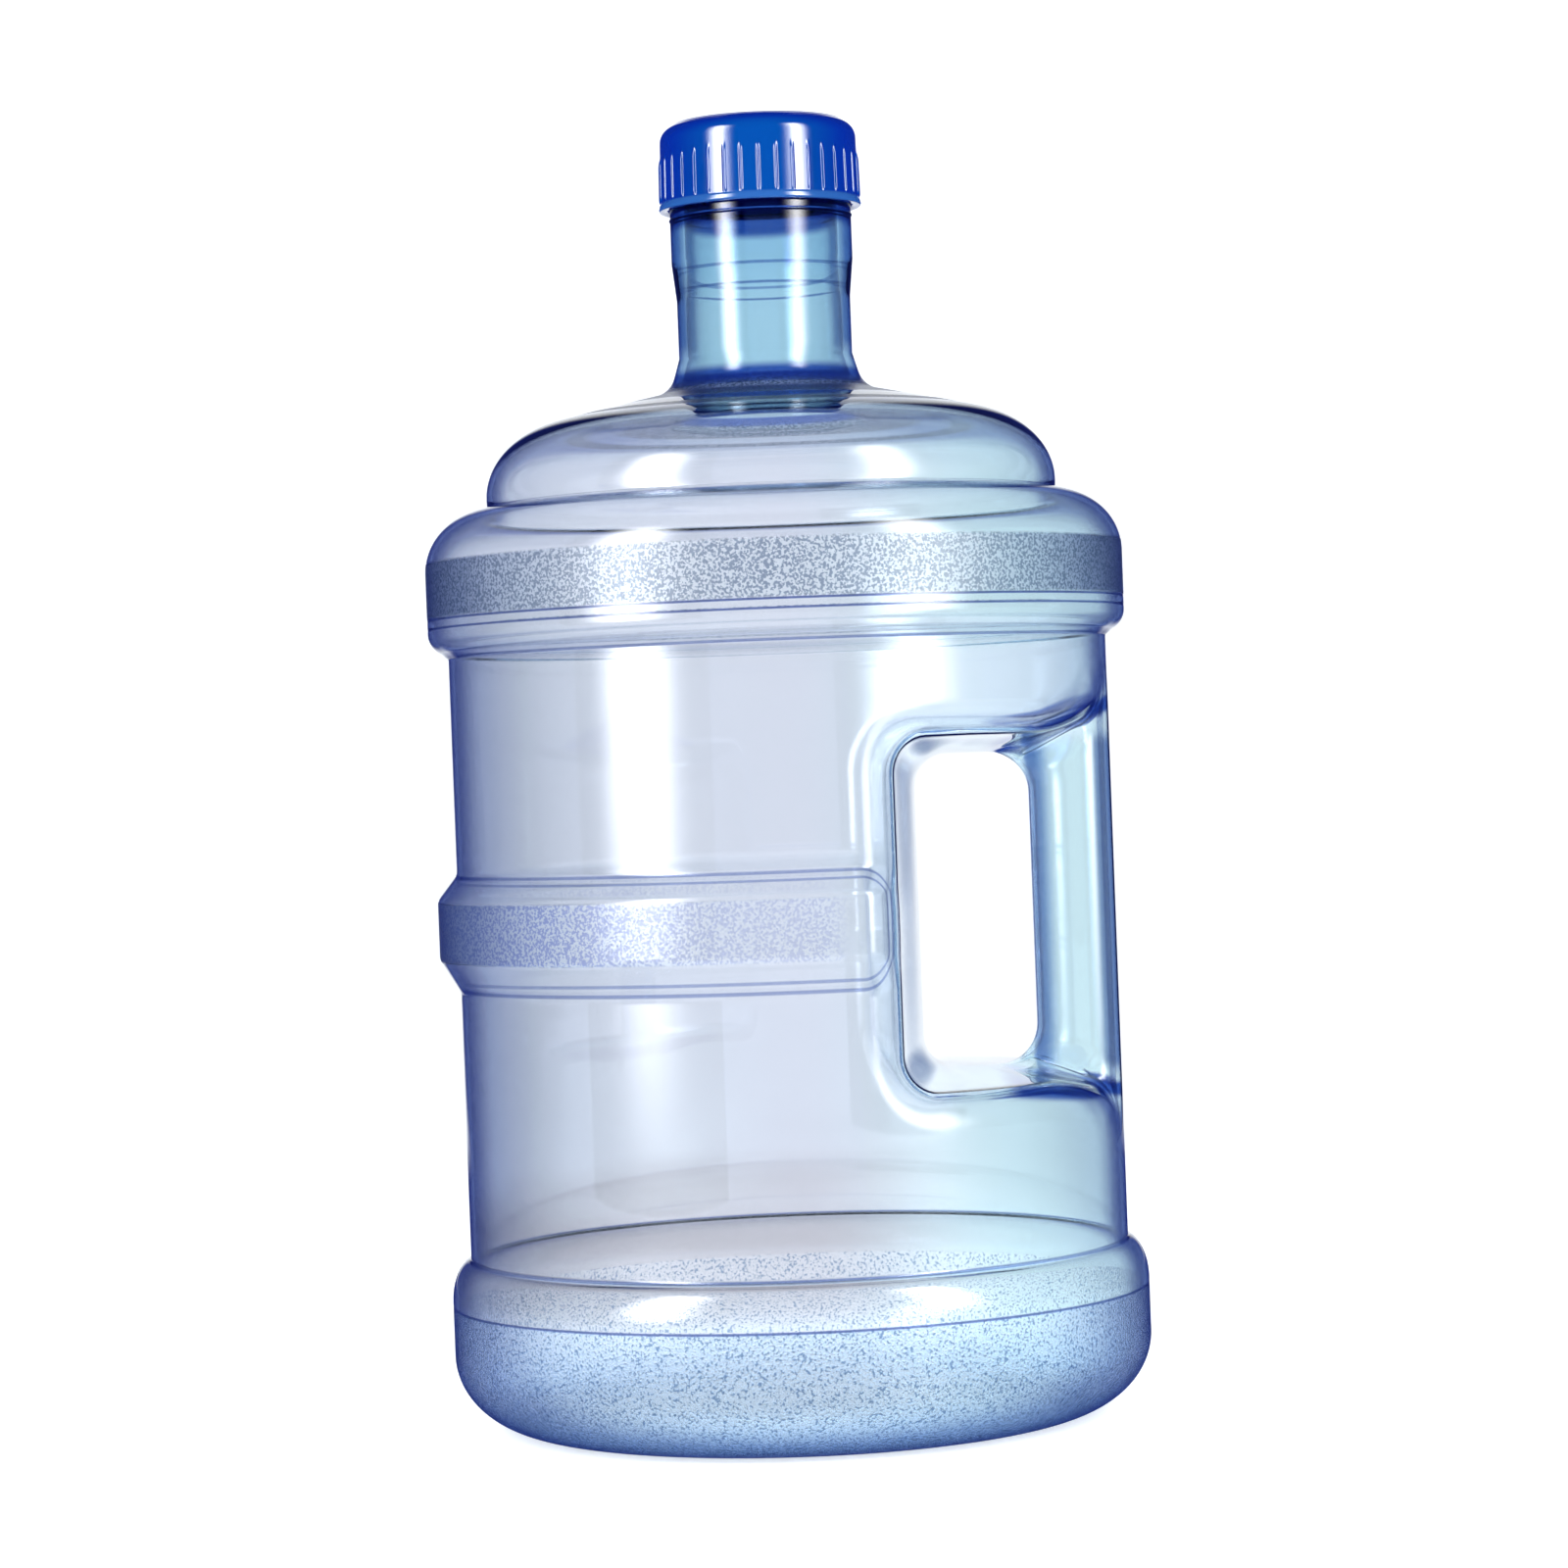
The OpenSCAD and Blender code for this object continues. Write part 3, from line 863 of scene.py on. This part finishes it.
# ---------------------------------------------------------------- cap and washer: materials
def cap_material():
    mat, tree, shell, _ = new_material("blue_cap_plastic")
    coord, _, _, z, _ = place(tree)
    body = mixed(tree, noise(tree, coord, 60.0, 3.0), *CAP_BLUES)
    # painted shade: the cap darker where seen at a slant
    body = mixed(tree, ramp(tree, facing_away(tree), 0.05, 0.55), body, CAP_EDGE_SHADE)
    # painted sheen: the lip lighter blue
    lip = fall(tree, z, (CAP_Z0 + 1.9) * MM, (CAP_Z0 + 2.7) * MM)
    tree.links.new(mixed(tree, lip, body, CAP_LIP_SHEEN), shell.inputs["Base Color"])
    tree.links.new(ramp(tree, noise(tree, coord, 220.0), 0.3, 0.7, 0.06, 0.09), shell.inputs["Roughness"])
    shell.inputs["IOR"].default_value = 1.75
    # painted light: a faint navy glow, no lamp, that keeps the cap's shadowed inside blue
    shell.inputs["Emission Color"].default_value = CAP_PAINTED_GLOW + (1.0,)
    shell.inputs["Emission Strength"].default_value = 0.055
    bumped(tree, shell, noise(tree, coord, 1500.0, 1.0), 0.0001, 0.08)
    return mat


def washer_material():
    mat, tree, soft, _ = new_material("white_silicone")
    coord, *_ = place(tree)
    tree.links.new(mixed(tree, noise(tree, coord, 300.0, 3.0), *SILICONE), soft.inputs["Base Color"])
    tree.links.new(ramp(tree, noise(tree, coord, 900.0), 0.3, 0.7, 0.45, 0.6), soft.inputs["Roughness"])
    bumped(tree, soft, noise(tree, coord, 2500.0, 1.0), 0.0001, 0.2)
    return mat


# ---------------------------------------------------------------- studio, in metres
SWEEP_HALF, SWEEP_FRONT, SWEEP_BACK, SWEEP_TOP = 2.4, -3.2, 1.3, 2.6
SWEEP_CURVE = 0.9
CARD_AZIMUTH, CARD_DISTANCE, CARD_WIDTH, CARD_HEIGHT, CARD_STRENGTH = 46, 0.72, 0.64, 1.05, 18.5
CAMERA_PLACE, CAMERA_LENS = (0.0006, -1.41, 0.2025), 105.75
CAMERA_DIP, CAMERA_ROLL = 0.34, -2.19


def in_gloss(tree):
    """1 for what a glossy surface mirrors, where the studio is dark between its lights."""
    path = node(tree, "ShaderNodeLightPath").outputs
    return times(tree, path["Is Reflection Ray"], path["Is Glossy Ray"])


def emission(tree, colour, strength=1.0):
    n = node(tree, "ShaderNodeEmission")
    feed(tree, n.inputs["Color"], colour)
    feed(tree, n.inputs["Strength"], strength)
    return n


def blended(tree, factor, a, b):
    n = node(tree, "ShaderNodeMixShader")
    tree.links.new(factor, n.inputs[0])
    tree.links.new(a.outputs[0], n.inputs[1])
    tree.links.new(b.outputs[0], n.inputs[2])
    return n


def floor_material():
    """Pale paint with a soft glow, stronger behind the jug where the eye sees it through the plastic."""
    mat, tree, paint, out = new_material("pale_floor")
    paint.inputs["Base Color"].default_value = FLOOR_PAINT + (1.0,)
    paint.inputs["Roughness"].default_value = 0.9
    paint.inputs["Specular IOR Level"].default_value = 0.0
    paint.inputs["Emission Color"].default_value = FLOOR_GLOW + (1.0,)
    x, y, _ = texture_axes(tree, "Object")
    seen_through = node(tree, "ShaderNodeLightPath").outputs["Is Transmission Ray"]
    extra = times(tree, seen_through, fall(tree, y, 0.05, 0.32, 0.85))
    tree.links.new(maths(tree, "ADD", extra, 0.55), paint.inputs["Emission Strength"])
    middle = fall(tree, maths(tree, "ABSOLUTE", x), 0.30, 0.55)
    behind = times(tree, middle, ramp(tree, y, 0.8, 1.2))
    dark = times(tree, in_gloss(tree), maths(tree, "SUBTRACT", 1.0, behind))
    shader = blended(tree, dark, paint, emission(tree, DARK_ROOM))
    tree.links.new(shader.outputs[0], out.inputs["Surface"])
    mat.cycles.emission_sampling = "NONE"
    return mat


def sweep():
    """A pale floor that curves up into a backdrop."""
    line = [(SWEEP_FRONT, 0.0), (SWEEP_BACK, 0.0)]
    for degrees in range(5, 91, 5):
        a = math.radians(degrees)
        line.append((SWEEP_BACK + SWEEP_CURVE * math.sin(a), SWEEP_CURVE - SWEEP_CURVE * math.cos(a)))
    line.append((SWEEP_BACK + SWEEP_CURVE, SWEEP_TOP))
    verts = [(side * SWEEP_HALF, y, z) for y, z in line for side in (-1, 1)]
    faces = [(2 * i, 2 * i + 1, 2 * i + 3, 2 * i + 2) for i in range(len(line) - 1)]
    mesh = bpy.data.meshes.new("sweep")
    mesh.from_pydata(verts, [], faces)
    mesh.materials.append(floor_material())
    mesh.polygons.foreach_set("use_smooth", [True] * len(faces))
    obj = bpy.data.objects.new("sweep", mesh)
    bpy.context.scene.collection.objects.link(obj)


def card_material(name):
    """White light that fades towards the card's edges."""
    mat, tree, _, out = new_material(name)
    across, _, up = texture_axes(tree, "Object")
    sides = fall(tree, maths(tree, "ABSOLUTE", across), 0.0, 0.5 * CARD_WIDTH)
    sides = maths(tree, "POWER", sides, 2.6)
    ends = zone(tree, up, 0.12 * CARD_HEIGHT, 0.85 * CARD_HEIGHT, 0.24 * CARD_HEIGHT)
    light = emission(tree, WHITE, times(tree, times(tree, sides, ends), CARD_STRENGTH))
    tree.links.new(light.outputs[0], out.inputs["Surface"])
    return mat


def glowing_card(name, azimuth, seen_through):
    """A tall card beside the camera; azimuth is measured from the camera's side, to the right."""
    half, low = CARD_WIDTH / 2, 0.01
    verts = [(-half, 0, low), (half, 0, low), (half, 0, CARD_HEIGHT), (-half, 0, CARD_HEIGHT)]
    mesh = bpy.data.meshes.new(name)
    mesh.from_pydata(verts, [], [(0, 1, 2, 3)])
    mesh.materials.append(card_material(name))
    obj = bpy.data.objects.new(name, mesh)
    a = math.radians(azimuth)
    obj.location = (CARD_DISTANCE * math.sin(a), -CARD_DISTANCE * math.cos(a), 0)
    obj.rotation_mode = "QUATERNION"
    obj.rotation_quaternion = Quaternion((0, 0, 1), a)
    obj.visible_camera = False
    obj.visible_transmission = seen_through
    obj.visible_shadow = False
    bpy.context.scene.collection.objects.link(obj)


def world():
    """White where the eye looks past or through the jug, dim for soft fill, dark in reflections.

    Reflections that run nearly straight back from the camera are white too."""
    w = bpy.data.worlds.new("studio")
    bpy.context.scene.world = w
    w.use_nodes = True
    w.cycles.sampling_method = "NONE"
    tree = w.node_tree
    fill = node(tree, "ShaderNodeLightPath").outputs["Is Diffuse Ray"]
    aside = fall(tree, texture_axes(tree, "Generated")[1], 0.950, 0.980)
    dark = times(tree, in_gloss(tree), aside)
    sky = mixed(tree, dark, STUDIO_WHITE, DARK_ROOM)
    tree.links.new(mixed(tree, fill, sky, STUDIO_FILL), tree.nodes["Background"].inputs["Color"])


def camera():
    data = bpy.data.cameras.new("camera")
    data.sensor_width = 36.0
    data.lens = CAMERA_LENS
    data.clip_start, data.clip_end = 0.05, 60.0
    obj = bpy.data.objects.new("camera", data)
    obj.location = CAMERA_PLACE
    look = Vector((0, 1, -math.tan(math.radians(CAMERA_DIP))))
    roll = Quaternion((0, 0, 1), math.radians(CAMERA_ROLL))
    obj.rotation_mode = "QUATERNION"
    obj.rotation_quaternion = look.to_track_quat("-Z", "Y") @ roll
    bpy.context.scene.collection.objects.link(obj)
    bpy.context.scene.camera = obj


def studio():
    world()
    sweep()
    glowing_card("left_box", -CARD_AZIMUTH, True)
    glowing_card("right_box", CARD_AZIMUTH, False)


# ---------------------------------------------------------------- the object
def build():
    """Each piece, with the CAD node it replaces, the body it rides on and its kind of plastic."""
    pts, faces, outside = jug_mesh()
    jug = make_object("jug", pts, faces, jug_material())
    attribute = jug.data.attributes.new("outside", "FLOAT", "POINT")
    attribute.data.foreach_set("value", outside.astype(np.float32))
    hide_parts("bottle")
    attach(jug, "jug")
    cap = make_object("screw_cap", *cap_mesh(), cap_material())
    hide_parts("cap")
    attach(cap, "screw_cap")
    washer = make_object("sealing_washer", *washer_mesh(), washer_material())
    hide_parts("cap_washer")
    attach(washer, "seal")


build()
studio()
camera()
bpy.context.scene.view_settings.view_transform = "Standard"
